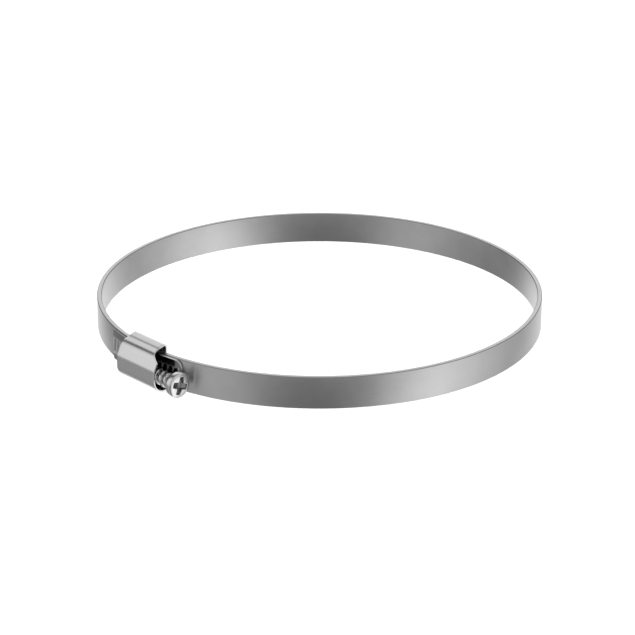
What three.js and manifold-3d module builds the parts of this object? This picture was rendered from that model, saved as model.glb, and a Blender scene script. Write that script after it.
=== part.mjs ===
// Worm-drive hose clamp: a ring of plain steel band, a threaded strap that passes through a folded
// sheet housing, and a captive worm screw that draws the strap along.
//
// Frame: millimetres, +Z up, the clamp lying flat. The housing is at -Y, the screw axis runs along X
// with the head at +X, and the origin is under the middle of the whole clamp, at its lowest point.

import * as THREE from 'three';
import * as BufferGeometryUtils from 'three/addons/utils/BufferGeometryUtils.js';
import Module from 'manifold-3d';

// ---------------------------------------------------------------- driving dimensions (mm)

const RING_RADIUS = 65;            // outer radius of the ring
const RING_THICKNESS = 1.35;
const BAND_WIDTH = 9;
const PLAY = 0.2;                  // gap between pieces that touch on the real clamp

const STRAP_GAP = 0.25;            // the strap lies this far outside the ring
const STRAP_THICKNESS = 0.5;
const STRAP_START = 17;            // arc from the middle of the housing to the strap's welded end
const TAIL_END = 14.4;             // and to the end of its loose tail
const START_CORNER = 0.6;
const TAIL_CORNER = 2.4;

const SCREW_PITCH = 2;
const CREST_RADIUS = 2.25;
const RIDGE_RADIUS = 0.4;          // the thread is a round ridge
const ROOT_RADIUS = 1.5;
const JOURNAL_RADIUS = 0.9;
const HEAD_RADIUS = 3.5;
const HEAD_HEIGHT = 2;
const HEAD_UNDERSIDE = 15.8;
const CROSS_WIDTH = 1.4;
const CROSS_LENGTH = 5;
const CROSS_DEPTH = 1.4;

const SHEET = 0.45;                // wall of the housing
const HOUSING_LEFT = -6.8;
const ROOF_RIGHT = 6.2;            // right end of the roof over the band
const BARREL_RIGHT = 9.6;          // right end of the barrel over the screw
const HOUSING_BOTTOM = -5.2;

// "Rise" is the distance outside the ring's outer circle at the housing; outwards is -Y there.
const AXIS_RISE = 2.4;             // the screw's axis
const AXIS_HEIGHT = -0.8;          // it sits a little below the band's mid-height

// ---------------------------------------------------------------- places worked out from them

const STRAP_RADIUS = RING_RADIUS + STRAP_GAP + STRAP_THICKNESS;
const BARREL_RISE = AXIS_RISE + CREST_RADIUS + PLAY / 2 + SHEET;

const yAtRise = (rise) => -(RING_RADIUS + rise);

// The split in the ring is inside the housing. The strap is welded on the side that moves, and the
// ring flexes diametrically opposite the middle of the weld. Angles run anticlockwise from +X.
const HOUSING_ANGLE = 1.5 * Math.PI;
const FREE_END_ANGLE = HOUSING_ANGLE - 5.7 / RING_RADIUS;
const FIXED_END_ANGLE = HOUSING_ANGLE + 0.5 / RING_RADIUS;
const WELD_ANGLE = HOUSING_ANGLE - THREE.MathUtils.degToRad(10);
const FLEX_ANGLE = WELD_ANGLE - Math.PI;
const HALF_SPLIT = 0.15 / RING_RADIUS;

// The whole clamp reaches from the screw head to the far side of the ring.
const RING_CENTRE = new THREE.Vector3(0, (AXIS_RISE + HEAD_RADIUS) / 2, -HOUSING_BOTTOM);

// ---------------------------------------------------------------- solids

const wasm = await Module();
wasm.setup();

function toSolid(geometry) {
  const bare = geometry.index ? geometry.toNonIndexed() : geometry.clone();
  bare.deleteAttribute('normal');
  bare.deleteAttribute('uv');
  const merged = BufferGeometryUtils.mergeVertices(bare, 1e-4);
  return new wasm.Manifold(new wasm.Mesh({
    numProp: 3,
    vertProperties: new Float32Array(merged.attributes.position.array),
    triVerts: new Uint32Array(merged.index.array),
  }));
}

function toGeometry(solid) {
  const mesh = solid.getMesh();
  const geometry = new THREE.BufferGeometry();
  geometry.setAttribute('position', new THREE.BufferAttribute(mesh.vertProperties, 3));
  geometry.setIndex(new THREE.BufferAttribute(mesh.triVerts, 1));
  geometry.computeVertexNormals();
  return geometry;
}

const extrude = (shape, depth, curveSegments = 12) =>
  new THREE.ExtrudeGeometry(shape, { depth, bevelEnabled: false, curveSegments, steps: 1 });

function box(low, high) {
  const size = new THREE.Vector3().subVectors(high, low);
  const centre = new THREE.Vector3().addVectors(high, low).multiplyScalar(0.5);
  const geometry = new THREE.BoxGeometry(size.x, size.y, size.z);
  geometry.translate(centre.x, centre.y, centre.z);
  return toSolid(geometry);
}

// ---------------------------------------------------------------- the band, seen from above

function arcBand(outer, thickness, from, to, curveSegments) {
  const shape = new THREE.Shape();
  shape.absarc(0, 0, outer, from, to, false);
  shape.absarc(0, 0, outer - thickness, to, from, true);
  shape.closePath();
  const geometry = extrude(shape, BAND_WIDTH, curveSegments);
  geometry.translate(0, 0, -BAND_WIDTH / 2);
  return geometry;
}

const RING_SEGMENTS = 60;
const STRAP_SEGMENTS = 16;

// From the split in the housing, round the right, to the far side.
function fixedSide() {
  const start = FIXED_END_ANGLE - 2 * Math.PI;
  return arcBand(RING_RADIUS, RING_THICKNESS, start, FLEX_ANGLE - HALF_SPLIT, RING_SEGMENTS);
}

// From the far side, round the left, to the split in the housing.
function freeSide() {
  return arcBand(RING_RADIUS, RING_THICKNESS, FLEX_ANGLE + HALF_SPLIT, FREE_END_ANGLE, RING_SEGMENTS);
}

// ---------------------------------------------------------------- the threaded strap

const SLOT_LENGTH = 4.7;
const SLOT_WIDTH = 1.2;
const SLOT_HEIGHT = -0.25;         // middle of the slots above the band's mid-height
const SLOT_LEAN = Math.atan(SCREW_PITCH / (2 * Math.PI * CREST_RADIUS));
const FIRST_SLOT = -15.85;
const SLOTS = 15;

// Turns a cutter drawn in (X, Y) about the origin to face the strap at an arc from the housing.
function aimAtStrap(geometry, arc) {
  geometry.rotateX(Math.PI / 2);
  geometry.translate(0, -STRAP_RADIUS, 0);
  geometry.rotateZ(arc / STRAP_RADIUS);
  return toSolid(geometry);
}

function slotCutter(arc) {
  const half = SLOT_WIDTH / 2;
  const straight = SLOT_LENGTH / 2 - half;
  const shape = new THREE.Shape();
  shape.absarc(0, straight, half, 0, Math.PI, false);
  shape.absarc(0, -straight, half, Math.PI, 2 * Math.PI, false);
  shape.closePath();
  const geometry = extrude(shape, 4, 4);
  geometry.translate(0, 0, -2);
  geometry.rotateZ(-SLOT_LEAN);
  geometry.translate(0, SLOT_HEIGHT, 0);
  return aimAtStrap(geometry, arc);
}

// Everything outside a quarter circle at the upper corner of an end at X = 0.
function cornerCutter(radius, arc, quarter) {
  const edge = BAND_WIDTH / 2;
  const shape = new THREE.Shape();
  shape.absarc(-radius, edge - radius, radius, Math.PI / 2, 0, true);
  shape.lineTo(1, edge - radius);
  shape.lineTo(1, edge + 1);
  shape.lineTo(-radius, edge + 1);
  shape.closePath();
  const geometry = extrude(shape, 4, 6);
  geometry.translate(0, 0, -2);
  geometry.rotateX(quarter.over);
  geometry.rotateY(quarter.round);
  return aimAtStrap(geometry, arc);
}

function threadedStrap() {
  const start = HOUSING_ANGLE - STRAP_START / STRAP_RADIUS;
  const end = HOUSING_ANGLE + TAIL_END / STRAP_RADIUS;
  let strap = toSolid(arcBand(STRAP_RADIUS, STRAP_THICKNESS, start, end, STRAP_SEGMENTS));
  for (const over of [0, Math.PI]) {
    const tail = cornerCutter(TAIL_CORNER, TAIL_END, { over, round: 0 });
    const welded = cornerCutter(START_CORNER, -STRAP_START, { over, round: Math.PI });
    strap = strap.subtract(tail).subtract(welded);
  }
  for (let slot = 0; slot < SLOTS; slot += 1) {
    strap = strap.subtract(slotCutter(FIRST_SLOT + slot * SCREW_PITCH));
  }
  return toGeometry(strap);
}

// ---------------------------------------------------------------- the housing, seen from its end

// The sheet's middle line as corners and bend radii, from the upper leg inside the ring, over the band,
// down the barrel and back under the band to the lower leg.
const LEG_RISE = -2.2;
const LOW_LINE = HOUSING_BOTTOM + SHEET / 2;
const BARREL_LINE = BARREL_RISE - SHEET / 2;
const SHEET_CORNERS = [
  { rise: LEG_RISE, z: 1.5, bend: 0 },
  { rise: LEG_RISE, z: 6.9, bend: 0.6 },
  { rise: 3.1, z: 5.15, bend: 1.6 },
  { rise: BARREL_LINE, z: 1.4, bend: 2.4 },
  { rise: BARREL_LINE, z: LOW_LINE, bend: 3.2 },
  { rise: LEG_RISE, z: LOW_LINE, bend: 0.6 },
  { rise: LEG_RISE, z: -1.5, bend: 0 },
];
const BEND_STEP = THREE.MathUtils.degToRad(12);

// Points along the middle line in (Y, Z), each with the unit vector that points out of the housing.
// Every corner with a bend becomes an arc.
function sheetLine() {
  const points = SHEET_CORNERS.map(({ rise, z }) => new THREE.Vector2(yAtRise(rise), z));
  const heading = (i) => new THREE.Vector2().subVectors(points[i + 1], points[i]).normalize();
  const outwards = (along) => new THREE.Vector2(along.y, -along.x);
  const last = points.length - 1;
  const line = [{ at: points[0], out: outwards(heading(0)) }];
  for (let i = 1; i < last; i += 1) {
    const { bend } = SHEET_CORNERS[i];
    const arriving = heading(i - 1);
    const leaving = heading(i);
    const turn = Math.acos(arriving.dot(leaving));
    const startOut = outwards(arriving);
    const centre = points[i].clone()
      .addScaledVector(arriving, -bend * Math.tan(turn / 2))
      .addScaledVector(startOut, -bend);
    const steps = Math.ceil(turn / BEND_STEP);
    for (let step = 0; step <= steps; step += 1) {
      const out = startOut.clone().rotateAround(new THREE.Vector2(), (turn * step) / steps);
      line.push({ at: centre.clone().addScaledVector(out, bend), out });
    }
  }
  line.push({ at: points[last], out: outwards(heading(last - 1)) });
  return line;
}

// A shape drawn in (Y, Z), extruded along X.
function alongX(shape, from, to) {
  const geometry = extrude(shape, to - from);
  geometry.translate(0, 0, from);
  geometry.rotateX(Math.PI / 2);
  geometry.rotateZ(Math.PI / 2);
  return toSolid(geometry);
}

function housing() {
  const line = sheetLine();
  const offset = (distance) => line.map(({ at, out }) => at.clone().addScaledVector(out, distance));
  const outside = offset(SHEET / 2);
  const inside = offset(-SHEET / 2);
  const shell = alongX(new THREE.Shape([...outside, ...inside.reverse()]), HOUSING_LEFT, BARREL_RIGHT);

  // The left end is closed above the strap, with a hole for the screw's journal.
  const endWall = alongX(new THREE.Shape(outside), HOUSING_LEFT, HOUSING_LEFT + SHEET);
  const bandWay = box(
    new THREE.Vector3(HOUSING_LEFT - 1, yAtRise(STRAP_RADIUS - RING_RADIUS + PLAY), HOUSING_BOTTOM - 1),
    new THREE.Vector3(HOUSING_LEFT + 1, 0, 10),
  );
  const hole = new THREE.CylinderGeometry(JOURNAL_RADIUS + PLAY, JOURNAL_RADIUS + PLAY, 3, 20);
  hole.rotateZ(Math.PI / 2);
  hole.translate(HOUSING_LEFT, yAtRise(AXIS_RISE), AXIS_HEIGHT);

  // Right of the roof the sheet goes on only round the barrel, under a slanting upper edge.
  const past = BARREL_RIGHT + 1;
  const overBarrel = extrude(new THREE.Shape([
    new THREE.Vector2(ROOF_RIGHT, 6.2),
    new THREE.Vector2(past, 3.6),
    new THREE.Vector2(past, 10),
    new THREE.Vector2(ROOF_RIGHT, 10),
  ]), 12);
  overBarrel.rotateX(Math.PI / 2);
  overBarrel.translate(0, yAtRise(-4), 0);
  const byBand = box(
    new THREE.Vector3(ROOF_RIGHT, yAtRise(0.8), HOUSING_BOTTOM - 1),
    new THREE.Vector3(past, yAtRise(-6), 10),
  );
  const closed = shell.add(endWall.subtract(bandWay)).subtract(toSolid(hole));
  return toGeometry(closed.subtract(toSolid(overBarrel)).subtract(byBand));
}

// ---------------------------------------------------------------- the worm screw, along +Z

const TIP = HOUSING_LEFT + 0.1;
const SHOULDER = HOUSING_LEFT + SHEET + PLAY;
const THREAD_START = SHOULDER + 0.9;
const THREAD_END = 14.7;
const THREAD_STEPS = 14;           // in each turn
const HEAD_RIM = 0.6;
const DOME_STEPS = 5;

class Helix extends THREE.Curve {
  constructor(radius, from, to, pitch) {
    super();
    Object.assign(this, { radius, from, to, pitch });
  }

  getPoint(t, target = new THREE.Vector3()) {
    const z = THREE.MathUtils.lerp(this.from, this.to, t);
    const angle = (2 * Math.PI * z) / this.pitch;
    return target.set(this.radius * Math.cos(angle), this.radius * Math.sin(angle), z);
  }
}

function shaft() {
  const top = HEAD_UNDERSIDE + HEAD_HEIGHT;
  const domeHeight = HEAD_HEIGHT - HEAD_RIM;
  const profile = [
    new THREE.Vector2(0, TIP),
    new THREE.Vector2(JOURNAL_RADIUS, TIP),
    new THREE.Vector2(JOURNAL_RADIUS, SHOULDER),
    new THREE.Vector2(ROOT_RADIUS, SHOULDER),
    new THREE.Vector2(ROOT_RADIUS, HEAD_UNDERSIDE),
    new THREE.Vector2(HEAD_RADIUS, HEAD_UNDERSIDE),
    new THREE.Vector2(HEAD_RADIUS, HEAD_UNDERSIDE + HEAD_RIM),
  ];
  for (let step = 1; step < DOME_STEPS; step += 1) {
    const angle = (step / DOME_STEPS) * (Math.PI / 2);
    const radius = HEAD_RADIUS * Math.cos(angle) ** 0.6;
    profile.push(new THREE.Vector2(radius, top - domeHeight * (1 - Math.sin(angle))));
  }
  profile.push(new THREE.Vector2(0, top));
  const geometry = new THREE.LatheGeometry(profile, 32);
  geometry.rotateX(Math.PI / 2);
  return toSolid(geometry);
}

function thread() {
  const ridge = new THREE.Shape();
  ridge.absarc(0, 0, RIDGE_RADIUS, 0, 2 * Math.PI, false);
  const turns = (THREAD_END - THREAD_START) / SCREW_PITCH;
  return toSolid(new THREE.ExtrudeGeometry(ridge, {
    steps: Math.round(turns * THREAD_STEPS),
    curveSegments: 3,
    bevelEnabled: false,
    extrudePath: new Helix(CREST_RADIUS - RIDGE_RADIUS, THREAD_START, THREAD_END, SCREW_PITCH),
  }));
}

function crossRecess() {
  const floor = HEAD_UNDERSIDE + HEAD_HEIGHT - CROSS_DEPTH;
  const arm = (x, y) => box(new THREE.Vector3(-x / 2, -y / 2, floor), new THREE.Vector3(x / 2, y / 2, floor + 3));
  return arm(CROSS_WIDTH, CROSS_LENGTH).add(arm(CROSS_LENGTH, CROSS_WIDTH));
}

function wormScrew() {
  return toGeometry(shaft().add(thread()).subtract(crossRecess()));
}

// The screw is turned so that its crests stand in the strap's slots.
function screwTurn() {
  const crest = FIRST_SLOT - (SLOT_HEIGHT - AXIS_HEIGHT) * Math.tan(SLOT_LEAN);
  return 2 * Math.PI * (0.25 - crest / SCREW_PITCH);
}

// ---------------------------------------------------------------- the clamp

const bandSteel = { color: 0xa9a9a9, roughness: 0.35, metalness: 1 };
const housingSteel = { color: 0xc8c8c8, roughness: 0.3, metalness: 1 };
const screwSteel = { color: 0xd2d2d2, roughness: 0.18, metalness: 1 };

function piece(name, geometry, finish) {
  const mesh = new THREE.Mesh(geometry, new THREE.MeshStandardMaterial(finish));
  mesh.name = name;
  return mesh;
}

const clamp = new THREE.Group();
const ring = new THREE.Group();
ring.position.copy(RING_CENTRE);
clamp.add(ring);

ring.add(piece('band_fixed_side', fixedSide(), bandSteel));
ring.add(piece('band_free_side', freeSide(), bandSteel));
ring.add(piece('threaded_strap', threadedStrap(), bandSteel));
ring.add(piece('screw_housing', housing(), housingSteel));

const screw = piece('worm_screw', wormScrew(), screwSteel);
screw.rotation.set(0, Math.PI / 2, screwTurn());
screw.position.set(0, yAtRise(AXIS_RISE), AXIS_HEIGHT);
ring.add(screw);

export default clamp;
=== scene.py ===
"""Looks for the worm-drive hose clamp: ring, threaded strap, folded housing and worm screw."""
import math

import bmesh
import bpy
import numpy as np
from mathutils import Matrix, Vector


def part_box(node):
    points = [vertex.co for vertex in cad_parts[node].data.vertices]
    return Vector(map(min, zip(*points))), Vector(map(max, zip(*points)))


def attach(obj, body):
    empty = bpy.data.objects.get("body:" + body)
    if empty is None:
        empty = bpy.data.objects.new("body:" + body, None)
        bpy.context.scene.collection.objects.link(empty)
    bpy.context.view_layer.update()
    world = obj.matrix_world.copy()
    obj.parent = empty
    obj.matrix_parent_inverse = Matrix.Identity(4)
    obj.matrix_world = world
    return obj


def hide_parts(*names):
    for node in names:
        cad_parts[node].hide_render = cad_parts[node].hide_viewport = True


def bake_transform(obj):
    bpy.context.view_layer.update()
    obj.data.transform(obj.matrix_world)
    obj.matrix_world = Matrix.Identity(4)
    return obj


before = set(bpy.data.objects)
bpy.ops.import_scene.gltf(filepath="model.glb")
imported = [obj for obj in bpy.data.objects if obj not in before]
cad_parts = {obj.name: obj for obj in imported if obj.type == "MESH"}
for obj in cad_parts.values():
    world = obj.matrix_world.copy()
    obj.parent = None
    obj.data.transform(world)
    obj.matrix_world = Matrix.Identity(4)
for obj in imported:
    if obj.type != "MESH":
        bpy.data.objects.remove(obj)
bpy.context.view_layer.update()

MM = 0.001
SCENE = bpy.context.scene

# ------------------------------------------------------------------ places read from the CAD

fixed_low, fixed_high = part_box("band_fixed_side")
free_low, free_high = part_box("band_free_side")
house_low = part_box("screw_housing")[0]
screw_low, screw_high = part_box("worm_screw")

CENTRE = Vector((
    (fixed_high[0] + free_low[0]) / 2,
    (max(fixed_high[1], free_high[1]) + min(fixed_low[1], free_low[1])) / 2,
    (fixed_low[2] + fixed_high[2]) / 2,
))
RING_R = (fixed_high[0] - free_low[0]) / 2 / MM          # 65 mm
BAND_W = (fixed_high[2] - fixed_low[2]) / MM             # 9 mm
AXIS_RISE = -((screw_low[1] + screw_high[1]) / 2 - CENTRE.y) / MM - RING_R
AXIS_Z = ((screw_low[2] + screw_high[2]) / 2 - CENTRE.z) / MM


# ------------------------------------------------------------------ mesh helpers

def run(points):
    """Distance along a line of points."""
    steps = np.linalg.norm(np.diff(points, axis=0), axis=1)
    return np.concatenate([[0.0], np.cumsum(steps)])


def skin(name, grid, wrap=False, caps=False, painted_light=None):
    """A mesh from rows of points in mm about the ring's centre. wrap closes each row into a loop.
    painted_light scales the metal's colour at each point: painted shade where it is under 1, painted
    highlight where it is over 1."""
    rows, cols = grid.shape[:2]
    across = cols if wrap else cols - 1
    verts = grid.reshape(-1, 3) * MM + np.array(CENTRE)
    i, j = np.meshgrid(np.arange(rows - 1), np.arange(across), indexing="ij")
    corner = [(i, j), (i + 1, j), (i + 1, j + 1), (i, j + 1)]
    quads = np.stack([a * cols + b % cols for a, b in corner], axis=-1).reshape(-1, 4)
    faces = [tuple(q) for q in quads.tolist()]
    mesh = bpy.data.meshes.new(name)
    if caps:
        faces.append(tuple(range(cols))[::-1])
        faces.append(tuple(range((rows - 1) * cols, rows * cols)))
    mesh.from_pydata(verts.tolist(), [], faces)

    middle_row = grid[rows // 2]
    loop = np.vstack([middle_row, middle_row[:1]]) if wrap else middle_row
    u = run(grid[:, 0])
    v = run(loop)
    uv = np.stack([np.stack([u[a], v[b]], axis=-1) for a, b in corner], axis=2).reshape(-1, 2)
    layer = mesh.uv_layers.new(name="strip")
    flat = np.zeros((len(mesh.loops), 2))
    flat[:len(uv)] = uv * 0.01
    layer.data.foreach_set("uv", flat.ravel())

    if painted_light is not None:
        values = mesh.attributes.new("painted_light", "FLOAT", "POINT")
        values.data.foreach_set("value", np.broadcast_to(painted_light, (rows, cols)).ravel())

    obj = bpy.data.objects.new(name, mesh)
    SCENE.collection.objects.link(obj)
    tidy = bmesh.new()
    tidy.from_mesh(mesh)
    bmesh.ops.recalc_face_normals(tidy, faces=tidy.faces)
    tidy.to_mesh(mesh)
    tidy.free()
    mesh.polygons.foreach_set("use_smooth", [True] * len(mesh.polygons))
    return obj


def apply_modifiers(obj):
    """Replaces the object's mesh with what its modifiers make of it."""
    graph = bpy.context.evaluated_depsgraph_get()
    mesh = bpy.data.meshes.new_from_object(obj.evaluated_get(graph), depsgraph=graph)
    obj.modifiers.clear()
    obj.data = mesh
    return obj


def join(name, *objects):
    """Several meshes as one object."""
    whole = bmesh.new()
    for obj in objects:
        whole.from_mesh(obj.data)
        bpy.data.objects.remove(obj)
    mesh = bpy.data.meshes.new(name)
    whole.to_mesh(mesh)
    whole.free()
    obj = bpy.data.objects.new(name, mesh)
    SCENE.collection.objects.link(obj)
    return obj


def smooth(low, high, x):
    """0 below one value and 1 above the other, eased between them."""
    t = np.clip((x - low) / (high - low), 0, 1)
    return t * t * (3 - 2 * t)


def rounded_section(inner, outer, half, radius, steps=5):
    """A strip's cross-section as (radius, height) points: a rectangle with rounded edges."""
    points = []
    for r, z, start in (
        (outer - radius, half - radius, 0),
        (inner + radius, half - radius, 90),
        (inner + radius, -half + radius, 180),
        (outer - radius, -half + radius, 270),
    ):
        for k in range(steps + 1):
            a = math.radians(start + 90 * k / steps)
            points.append((r + radius * math.cos(a), z + radius * math.sin(a)))
    return np.array(points)


def round_ring(section, angles):
    """The section swept round the ring's axis."""
    r, z = section[:, 0], section[:, 1]
    a = np.asarray(angles)[:, None]
    return np.stack([r * np.cos(a), r * np.sin(a), z + 0 * a], axis=-1)


# ------------------------------------------------------------------ the ring

RING_T = 1.35
RING_W = BAND_W + 0.3                                    # with the burr of its slit edges
HOUSING_ANGLE = math.radians(270)
FREE_END = HOUSING_ANGLE - 5.7 / RING_R
FIXED_END = HOUSING_ANGLE - 2 * math.pi + 0.5 / RING_R


def make_ring():
    """The whole ring as one strip, from the split in the housing round to the split again."""
    section = rounded_section(RING_R - RING_T, RING_R, RING_W / 2, 0.2)
    angles = np.linspace(FIXED_END, FREE_END, 541)
    # Painted shade along the strip's slit edges: a dark line on every corner, heavier on two opposite
    # sides of the ring.
    corner = np.array([0, 0.7, 1, 1, 0.7, 0] * 4)
    painted_side_shade = 0.3 + 0.65 * np.cos(angles - math.radians(48)) ** 2
    painted_light = 1 - np.outer(painted_side_shade, corner)
    return skin("ring_band", round_ring(section, angles), wrap=True, caps=True, painted_light=painted_light)


# ------------------------------------------------------------------ the threaded strap

STRAP_IN = RING_R + 0.06
STRAP_T = 0.68
STRAP_START = -17.0                                      # mm along the ring from the housing's middle
TAIL_END = 14.4
START_CORNER = 0.6
TAIL_CORNER = 2.4
PITCH = 2.0
FIRST_SLOT = -15.85
SLOTS = 15
SLOT_Z = -0.25
SLOT_LEAN = PITCH / (2 * math.pi * 2.25)


def slot_distance(arc, z):
    """Distance outside the nearest slot's edge, negative inside it."""
    away = arc - (z - SLOT_Z) * SLOT_LEAN - FIRST_SLOT
    nearest = np.clip(np.round(away / PITCH), 0, SLOTS - 1)
    across = away - nearest * PITCH
    beyond = np.maximum(np.abs(z - SLOT_Z) - 1.8, 0)
    return np.hypot(across, beyond) - 0.5


def make_strap():
    """The strap as a relief of pressed pockets, ring by ring along its length."""
    arcs = np.concatenate([
        np.array([0.0, 0.02, 0.06, 0.12]) + STRAP_START,
        np.linspace(STRAP_START + 0.2, TAIL_END - 0.2, 330),
        TAIL_END - np.array([0.12, 0.06, 0.02, 0.0]),
    ])
    columns = np.linspace(-1, 1, 75)
    rows = []
    painted_light = []
    for arc in arcs:
        half = BAND_W / 2
        for end, corner in ((arc - STRAP_START, START_CORNER), (TAIL_END - arc, TAIL_CORNER)):
            if end < corner:
                half = BAND_W / 2 - corner + math.sqrt(corner ** 2 - (corner - end) ** 2)
        end = min(arc - STRAP_START, TAIL_END - arc)
        worn_end_or_painted_light = 0.12 - math.sqrt(max(0.12 ** 2 - (0.12 - min(end, 0.12)) ** 2, 0))
        z = columns * half
        edge = half - np.abs(z)
        lip = 0.12 - np.sqrt(np.maximum(0.12 ** 2 - (0.12 - np.minimum(edge, 0.12)) ** 2, 0))
        gap = slot_distance(arc, z)
        face = -0.62 * (1 - smooth(-0.22, 0.14, gap))
        face += 0.05 * smooth(0.5, 0.1, np.abs(gap - 0.45)) * smooth(2.6, 1.6, np.abs(z - SLOT_Z))
        height = STRAP_T + face - np.maximum(lip, worn_end_or_painted_light)
        back_z = np.linspace(half, -half, 7)
        r = STRAP_IN + np.concatenate([height, np.full(7, worn_end_or_painted_light)])
        zz = np.concatenate([z, back_z])
        a = HOUSING_ANGLE + arc / (STRAP_IN + STRAP_T)
        rows.append(np.stack([r * math.cos(a), r * math.sin(a), zz], axis=-1))
        # Painted shade darkens the run under the worm and the insides of the pockets; painted highlights
        # brighten the ribs and the edges.
        painted_shade_under_worm = smooth(3.0, 6.0, arc) * (1 - smooth(TAIL_END - 2.6, TAIL_END - 2.2, arc))
        beside = 1 - smooth(2.2, 3.0, np.abs(z - SLOT_Z))
        painted_rib_highlight = smooth(0.15, 0.35, gap) * (1 - smooth(0.7, 0.95, gap)) * beside
        tone = 1 + 1.3 * painted_rib_highlight - 0.5 * (1 - smooth(-0.2, 0.1, gap))
        tone *= 1 - painted_shade_under_worm * (0.9 - 0.45 * painted_rib_highlight)
        # Outside the housing the pockets get a painted highlight, where their walls catch the light.
        painted_pocket_highlight = (1 - smooth(-13.5, -12.0, arc)) * (1 - smooth(-0.1, 0.5, gap))
        tone += (2.3 - tone) * painted_pocket_highlight
        # Painted highlight along the strap's edges, from about 6 mm past the housing's middle to the tail.
        tone += (2.4 - tone) * (1 - smooth(0.12, 0.3, edge)) * smooth(5.0, 7.0, arc)
        painted_light.append(np.concatenate([tone, np.ones(7)]))
    return skin("threaded_strap_band", np.array(rows), wrap=True, caps=True, painted_light=np.array(painted_light))


# ------------------------------------------------------------------ the housing

SHEET = 0.45
LEFT = -6.8
ROOF_RIGHT = 6.2
BARREL_RIGHT = 9.6
BOTTOM = (house_low[2] - CENTRE.z) / MM
WALL = -(house_low[1] - CENTRE.y) / MM - RING_R
LEG = -2.2


def bent_line(corners, step=math.radians(5), spacing=0.35):
    """A line of (rise, z) points through corners (rise, z, bend radius), every corner an arc."""
    points = [np.array(c[:2], float) for c in corners]
    line = [points[0]]
    for k in range(1, len(points) - 1):
        arriving = points[k] - points[k - 1]
        leaving = points[k + 1] - points[k]
        arriving /= np.linalg.norm(arriving)
        leaving /= np.linalg.norm(leaving)
        turn = math.atan2(arriving[0] * leaving[1] - arriving[1] * leaving[0], arriving @ leaving)
        bend = corners[k][2]
        side = math.copysign(1, turn)
        start = points[k] - arriving * bend * math.tan(abs(turn) / 2)
        normal = np.array([-arriving[1], arriving[0]]) * side
        centre = start + normal * bend
        for n in range(int(abs(turn) / step) + 2):
            a = turn * n / (int(abs(turn) / step) + 1)
            spoke = start - centre
            line.append(centre + np.array([
                spoke[0] * math.cos(a) - spoke[1] * math.sin(a),
                spoke[0] * math.sin(a) + spoke[1] * math.cos(a),
            ]))
    line.append(points[-1])
    fine = [line[0]]
    for a, b in zip(line, line[1:]):
        count = max(1, int(np.linalg.norm(b - a) / spacing))
        fine += [a + (b - a) * n / count for n in range(1, count + 1)]
    return np.array(fine)


def make_housing():
    """One folded sheet: hooked under the band, over it, and round the screw."""
    low = BOTTOM + SHEET / 2
    wall = WALL - SHEET / 2
    path = bent_line([
        (LEG, 1.5, 0), (LEG, 6.9, 0.8), (0.2, 6.18, 0.8), (0.8, 5.9, 0.8), (3.1, 5.2, 2.4),
        (wall, 1.4, 2.2), (wall, low, 3.2), (LEG, low, 0.6), (LEG, -1.5, 0),
    ])
    # The right edge runs straight over the band, then sweeps out over the barrel.
    way = run(path)
    bend = way[np.argmax(path[:, 0] > 0.4)]
    far = [
        min(BARREL_RIGHT, ROOF_RIGHT + 0.2 * (along - bend) ** 2) if rise > 0.4 else ROOF_RIGHT
        for (rise, z), along in zip(path, way)
    ]
    across = np.linspace(0, 1, 21)
    grid = np.array([
        [(LEFT + (right - LEFT) * t, -(RING_R + rise), z) for t in across]
        for (rise, z), right in zip(path, far)
    ])
    shell = skin("shell", grid)
    thick = shell.modifiers.new("sheet", "SOLIDIFY")
    thick.thickness = SHEET * MM
    thick.offset = 0
    soften = shell.modifiers.new("edge", "BEVEL")
    soften.width = 0.12 * MM
    soften.segments = 3
    soften.limit_method = "ANGLE"
    soften.angle_limit = math.radians(55)
    apply_modifiers(shell)

    # The closed left end above the strap, with the hole that the screw's journal turns in.
    hole = 1.1
    outline = list(bent_line([
        (0.95, 5.85, 0), (3.1, 5.2, 2.4), (wall, 1.4, 2.2), (wall, low, 3.2), (0.95, low, 0),
    ]))
    closed = outline + [outline[0]]
    loops = []
    for t in np.linspace(0, 2 * math.pi, 97)[:-1]:
        ray = np.array([math.cos(t), math.sin(t)])
        reach = [1e9]
        for a, b in zip(closed, closed[1:]):
            edge = b - a
            cross = ray[0] * edge[1] - ray[1] * edge[0]
            if abs(cross) > 1e-9:
                rel = a - np.array([AXIS_RISE, AXIS_Z])
                along = (rel[0] * edge[1] - rel[1] * edge[0]) / cross
                part = (rel[0] * ray[1] - rel[1] * ray[0]) / cross
                if along > 0 and -1e-6 <= part <= 1 + 1e-6:
                    reach.append(along)
        loops.append([ray * hole, ray * (hole + min(reach)) / 2, ray * min(reach)])
    loops = np.array(loops)
    face = np.stack([
        np.full(loops.shape[:2], LEFT + SHEET / 2),
        -(RING_R + AXIS_RISE + loops[..., 0]),
        AXIS_Z + loops[..., 1],
    ], axis=-1)
    end = skin("end", np.swapaxes(face, 0, 1), wrap=True)
    plate = end.modifiers.new("sheet", "SOLIDIFY")
    plate.thickness = SHEET * MM
    plate.offset = 0
    apply_modifiers(end)
    return join("folded_housing", shell, end)


# ------------------------------------------------------------------ the worm screw

ROOT = 1.42
CREST = 2.22
TIP = (screw_low[0] - CENTRE.x) / MM
HEAD_TOP = (screw_high[0] - CENTRE.x) / MM
HEAD_H = 2.0
HEAD_R = 3.65
THREAD_FROM = -5.2
THREAD_TO = 15.0
CREST_AT = FIRST_SLOT - (SLOT_Z - AXIS_Z) * SLOT_LEAN


def recess_depth(a, b):
    """Depth of the cross recess at a point on the head's face, arms along a and b."""
    reach = np.hypot(a, b)
    arm = np.minimum(np.abs(a), np.abs(b)) - (0.95 - 0.1 * reach)
    wall = 1 - smooth(-0.08, 0.08, arm)
    floor = 1.5 - 0.36 * reach
    outer = 1 - smooth(2.35, 2.65, reach)
    core = 1 - smooth(0.95, 1.15, reach)
    return np.maximum(wall * outer * np.maximum(floor, 0.3), core * 1.25)


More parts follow.
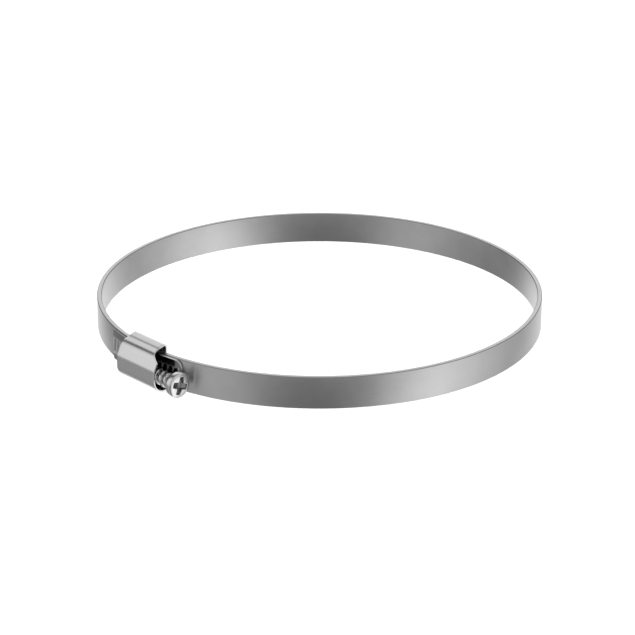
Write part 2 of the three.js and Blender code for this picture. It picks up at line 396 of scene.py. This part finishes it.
def make_screw():
    """Journal, thread and pan head as rings of points along the screw's axis."""
    around = np.linspace(0, 2 * math.pi, 129)[:-1]
    rows = []
    painted_light = []

    def row(x, r, tone=1.0):
        painted_light.append(tone + 0 * around)
        rows.append(np.stack([
            x + 0 * around,
            -(RING_R + AXIS_RISE) + r * np.cos(around),
            AXIS_Z + r * np.sin(around),
        ], axis=-1))

    row(TIP, 0.01)
    row(TIP, 0.7)
    row(TIP + 0.1, 0.85)
    row(TIP + 0.2, 0.9)
    row(-6.35, 0.9)
    row(-6.3, 0.95)
    row(-6.3, 1.5)
    row(-6.2, ROOT)
    under = HEAD_TOP - HEAD_H
    for x in np.arange(-6.1, under - 0.05, 0.055):
        phase = ((x - CREST_AT) / PITCH - around / (2 * math.pi) + 0.5) % 1.0 - 0.5
        away = np.abs(phase) * PITCH
        ridge = 1 - smooth(0.18, 0.62, away)
        grown = smooth(THREAD_FROM, THREAD_FROM + 1.2, x) * (1 - smooth(THREAD_TO - 0.7, THREAD_TO, x))
        # Painted shade in the thread's roots, full brightness on its crests.
        row(x, ROOT + (CREST - ROOT) * ridge * grown, 0.35 + 0.65 * smooth(0.1, 0.6, ridge * grown))
    row(under - 0.04, ROOT)
    row(under, ROOT + 0.06)
    row(under, HEAD_R - 0.15)
    for k in range(1, 5):
        a = math.radians(90 * k / 4)
        row(under + 0.15 - 0.15 * math.cos(a), HEAD_R - 0.15 + 0.15 * math.sin(a))
    dome = HEAD_H - 1.15
    for share in np.concatenate([np.linspace(0.0, 0.3, 10)[1:], np.linspace(0.3, 1.0, 60)[1:]]):
        a = share * math.pi / 2
        r = HEAD_R * math.cos(a) ** 0.55 if share < 1 else 0.004
        rise = dome * math.sin(a) ** 0.9
        turn = around + math.radians(20)
        cut = recess_depth(r * np.cos(turn), r * np.sin(turn))
        # Painted shade in the cross recess, darker where it is deeper.
        row(under + 1.15 + rise - cut, max(r, 0.004), 1 - 0.75 * smooth(0.1, 0.6, cut))
    return skin("cross_head_screw", np.array(rows), wrap=True, caps=True, painted_light=np.array(painted_light))


# ------------------------------------------------------------------ materials

def steel(name, tone, roughness, anisotropic, rotation, grain, spread=0.05, bump=0.02, worn_end_or_painted_light=True):
    """Bare metal with rolled streaks along the strip and faint mottling."""
    material = bpy.data.materials.new(name)
    material.use_nodes = True
    nodes, links = material.node_tree.nodes, material.node_tree.links
    shader = nodes["Principled BSDF"]
    shader.inputs["Metallic"].default_value = 1.0
    shader.inputs["Anisotropic"].default_value = anisotropic
    shader.inputs["Anisotropic Rotation"].default_value = rotation

    uv = nodes.new("ShaderNodeUVMap")
    uv.uv_map = "strip"
    stretch = nodes.new("ShaderNodeMapping")
    stretch.inputs["Scale"].default_value = (grain[0], grain[1], 1)
    links.new(uv.outputs["UV"], stretch.inputs["Vector"])
    streaks = nodes.new("ShaderNodeTexNoise")
    streaks.inputs["Scale"].default_value = 1.0
    streaks.inputs["Detail"].default_value = 4
    links.new(stretch.outputs["Vector"], streaks.inputs["Vector"])

    place = nodes.new("ShaderNodeTexCoord")
    clouds = nodes.new("ShaderNodeTexNoise")
    clouds.inputs["Scale"].default_value = 140
    clouds.inputs["Detail"].default_value = 3
    links.new(place.outputs["Object"], clouds.inputs["Vector"])

    both = nodes.new("ShaderNodeMath")
    both.operation = "MULTIPLY_ADD"
    both.inputs[1].default_value = 0.5
    links.new(streaks.outputs["Fac"], both.inputs[0])
    half = nodes.new("ShaderNodeMath")
    half.operation = "MULTIPLY"
    half.inputs[1].default_value = 0.5
    links.new(clouds.outputs["Fac"], half.inputs[0])
    links.new(half.outputs[0], both.inputs[2])

    colour = nodes.new("ShaderNodeValToRGB")
    low, high = tone - spread, tone + spread
    colour.color_ramp.elements[0].position = 0.3
    colour.color_ramp.elements[0].color = (low, low, low, 1)
    colour.color_ramp.elements[1].position = 0.7
    colour.color_ramp.elements[1].color = (high, high, high * 1.005, 1)
    links.new(both.outputs[0], colour.inputs["Fac"])
    # Where set, the colour is scaled by the painted_light attribute: painted shade and painted highlights
    # from the mesh code.
    if worn_end_or_painted_light:
        painted_light = nodes.new("ShaderNodeAttribute")
        painted_light.attribute_name = "painted_light"
        shaded = nodes.new("ShaderNodeVectorMath")
        shaded.operation = "SCALE"
        links.new(colour.outputs["Color"], shaded.inputs[0])
        links.new(painted_light.outputs["Fac"], shaded.inputs["Scale"])
        links.new(shaded.outputs["Vector"], shader.inputs["Base Color"])
    else:
        links.new(colour.outputs["Color"], shader.inputs["Base Color"])

    rough = nodes.new("ShaderNodeMapRange")
    rough.inputs["From Min"].default_value = 0.3
    rough.inputs["From Max"].default_value = 0.7
    rough.inputs["To Min"].default_value = roughness * 0.95
    rough.inputs["To Max"].default_value = roughness * 1.05
    links.new(both.outputs[0], rough.inputs["Value"])
    links.new(rough.outputs["Result"], shader.inputs["Roughness"])

    relief = nodes.new("ShaderNodeBump")
    relief.inputs["Strength"].default_value = bump
    relief.inputs["Distance"].default_value = 0.0001
    links.new(streaks.outputs["Fac"], relief.inputs["Height"])
    links.new(relief.outputs["Normal"], shader.inputs["Normal"])

    tangent = nodes.new("ShaderNodeTangent")
    tangent.direction_type = "UV_MAP"
    tangent.uv_map = "strip"
    links.new(tangent.outputs["Tangent"], shader.inputs["Tangent"])
    return material


BAND = steel("rolled_band_steel", 0.62, 0.38, 0.5, 0.25, (30, 900))
# The strap's steel is set darker than the band's: painted shade for the shade it lies in beside and under
# the housing.
STRAP = steel("slotted_strap_steel", 0.38, 0.30, 0.2, 0.25, (30, 900), spread=0.03)
HOUSE = steel("folded_sheet_steel", 0.86, 0.27, 0.3, 0.25, (20, 200), spread=0.015, bump=0.002, worn_end_or_painted_light=False)
SCREW = steel("plated_screw_steel", 0.80, 0.2, 0.0, 0.0, (300, 300), spread=0.04, bump=0.01)


def finish_piece(obj, material, slot_name, body, *nodes):
    """Gives a piece its material and, where a body is named, the body that it rides on."""
    obj.data.materials.clear()
    obj.data.materials.append(material)
    if body:
        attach(obj, body)
    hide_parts(*nodes)


ring = make_ring()
finish_piece(ring, BAND, "band_steel", None, "band_fixed_side", "band_free_side")
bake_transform(ring)

strap = make_strap()
finish_piece(strap, STRAP, "strap_steel", None, "threaded_strap")
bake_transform(strap)

finish_piece(make_housing(), HOUSE, "housing_steel", "housing_side", "screw_housing")
finish_piece(make_screw(), SCREW, "screw_zinc", "screw", "worm_screw")


# ------------------------------------------------------------------ floor, light and camera

def make_floor():
    """A plain pale floor at the height the clamp lies on."""
    mesh = bpy.data.meshes.new("floor")
    size = 3.0
    corners = [(-size, -size, 0), (size, -size, 0), (size, size, 0), (-size, size, 0)]
    mesh.from_pydata(corners, [], [(0, 1, 2, 3)])
    floor = bpy.data.objects.new("floor", mesh)
    SCENE.collection.objects.link(floor)
    material = bpy.data.materials.new("pale_floor")
    material.use_nodes = True
    nodes, links = material.node_tree.nodes, material.node_tree.links
    shader = nodes["Principled BSDF"]
    shader.inputs["Roughness"].default_value = 1.0
    shader.inputs["Specular IOR Level"].default_value = 0.0
    shader.inputs["Base Color"].default_value = (0.93, 0.93, 0.93, 1)
    # Reflections look through the floor, so that the metal shows the studio and not its own table.
    rays = nodes.new("ShaderNodeLightPath")
    clear = nodes.new("ShaderNodeBsdfTransparent")
    mixed = nodes.new("ShaderNodeMixShader")
    links.new(rays.outputs["Is Glossy Ray"], mixed.inputs["Fac"])
    links.new(shader.outputs["BSDF"], mixed.inputs[1])
    links.new(clear.outputs["BSDF"], mixed.inputs[2])
    links.new(mixed.outputs["Shader"], nodes["Material Output"].inputs["Surface"])
    mesh.materials.append(material)


# The studio round the clamp: (direction in degrees, brightness), first near the horizon and then
# above it. Directions run anticlockwise and are counted from the right-hand side of the main view.
CAMERA_TURN = 47.8
STUDIO = (
    (0, 0.8), (15, 0.6), (30, 0.45), (45, 0.65), (60, 1.0), (90, 1.4), (105, 1.25), (120, 0.95),
    (135, 0.4), (150, 0.25), (180, 0.3), (195, 0.4), (210, 0.6), (225, 0.55), (240, 0.3), (255, 0.15),
    (270, 0.15), (285, 0.2), (300, 0.4), (315, 0.95), (330, 1.25), (345, 1.05),
)
SKY = (
    (0, 0.6), (60, 0.8), (90, 0.95), (105, 0.85), (120, 0.65), (130, 0.1), (150, 0.1),
    (160, 0.65), (170, 0.8), (190, 0.75), (210, 0.5), (270, 0.5), (330, 0.6),
)
OVERHEAD = 0.2


def compass_ramp(nodes, levels):
    """A ramp from level to level round the horizon, starting and closing at 180 degrees."""
    ramp = nodes.new("ShaderNodeValToRGB")
    ramp.color_ramp.interpolation = "EASE"
    stops = sorted(((degrees + 180) % 360 / 360, level) for degrees, level in levels)
    stops.append((1.0, stops[0][1]))
    while len(ramp.color_ramp.elements) < len(stops):
        ramp.color_ramp.elements.new(0.5)
    for element, (position, _) in zip(ramp.color_ramp.elements, stops):
        element.position = position
    for element, (_, level) in zip(ramp.color_ramp.elements, stops):
        element.color = (level / 2, level / 2, level / 2, 1)
    return ramp


def rising(nodes, links, height, low, high):
    """0 below one height and 1 above the other."""
    share = nodes.new("ShaderNodeMapRange")
    share.interpolation_type = "SMOOTHSTEP"
    share.inputs["From Min"].default_value = low
    share.inputs["From Max"].default_value = high
    links.new(height, share.inputs["Value"])
    return share.outputs["Result"]


def make_studio():
    """Soft light all round: banded at the horizon, brighter above it and dim overhead."""
    world = bpy.data.worlds.new("studio")
    SCENE.world = world
    world.use_nodes = True
    nodes, links = world.node_tree.nodes, world.node_tree.links
    backdrop = nodes["Background"]
    where = nodes.new("ShaderNodeTexCoord")
    turned = nodes.new("ShaderNodeMapping")
    turned.inputs["Rotation"].default_value = (0, 0, -math.radians(CAMERA_TURN))
    links.new(where.outputs["Generated"], turned.inputs["Vector"])
    parts = nodes.new("ShaderNodeSeparateXYZ")
    links.new(turned.outputs["Vector"], parts.inputs["Vector"])
    angle = nodes.new("ShaderNodeMath")
    angle.operation = "ARCTAN2"
    links.new(parts.outputs["Y"], angle.inputs[0])
    links.new(parts.outputs["X"], angle.inputs[1])
    share = nodes.new("ShaderNodeMapRange")
    share.inputs["From Min"].default_value = -math.pi
    share.inputs["From Max"].default_value = math.pi
    links.new(angle.outputs[0], share.inputs["Value"])
    low = compass_ramp(nodes, STUDIO)
    high = compass_ramp(nodes, SKY)
    links.new(share.outputs["Result"], low.inputs["Fac"])
    links.new(share.outputs["Result"], high.inputs["Fac"])
    walls = nodes.new("ShaderNodeMix")
    walls.data_type = "RGBA"
    links.new(rising(nodes, links, parts.outputs["Z"], -0.2, 0.1), walls.inputs["Factor"])
    links.new(low.outputs["Color"], walls.inputs["A"])
    links.new(high.outputs["Color"], walls.inputs["B"])
    ceiling = nodes.new("ShaderNodeMix")
    ceiling.data_type = "RGBA"
    ceiling.inputs["B"].default_value = (OVERHEAD / 2, OVERHEAD / 2, OVERHEAD / 2, 1)
    links.new(rising(nodes, links, parts.outputs["Z"], 0.74, 0.86), ceiling.inputs["Factor"])
    links.new(walls.outputs["Result"], ceiling.inputs["A"])
    links.new(ceiling.outputs["Result"], backdrop.inputs["Color"])
    backdrop.inputs["Strength"].default_value = 2.0


def make_fill_light():
    """A broad light straight above, which fills the floor and isn't mirrored in the metal."""
    light = bpy.data.lights.new("overhead", "AREA")
    light.shape = "DISK"
    light.size = 1.2
    light.energy = 19
    light.use_shadow = False
    obj = bpy.data.objects.new("overhead", light)
    obj.location = (0, 0, 1.3)
    obj.visible_glossy = False
    SCENE.collection.objects.link(obj)


CAMERA_TILT = math.radians(22.33)
CAMERA_ASIDE = -0.0095                  # in ring radii
CAMERA_BACK = 11.1244
CAMERA_UP = 4.5001


def make_camera():
    """A long lens above the housing's side, looking down over the ring."""
    camera = bpy.data.cameras.new("camera")
    camera.sensor_width = 36
    camera.lens = 150.63
    camera.clip_end = 20
    obj = bpy.data.objects.new("camera", camera)
    turn = Matrix.Rotation(math.radians(CAMERA_TURN), 3, "Z")
    right = turn @ Vector((1, 0, 0))
    back = turn @ Vector((0, -math.cos(CAMERA_TILT), math.sin(CAMERA_TILT)))
    place = CENTRE + turn @ Vector((CAMERA_ASIDE, -CAMERA_BACK, CAMERA_UP)) * RING_R * MM
    axes = Matrix((right, back.cross(right), back)).transposed().to_4x4()
    obj.matrix_world = Matrix.Translation(place) @ axes
    SCENE.collection.objects.link(obj)
    SCENE.camera = obj


make_floor()
make_studio()
make_fill_light()
make_camera()
SCENE.view_settings.view_transform = "Standard"
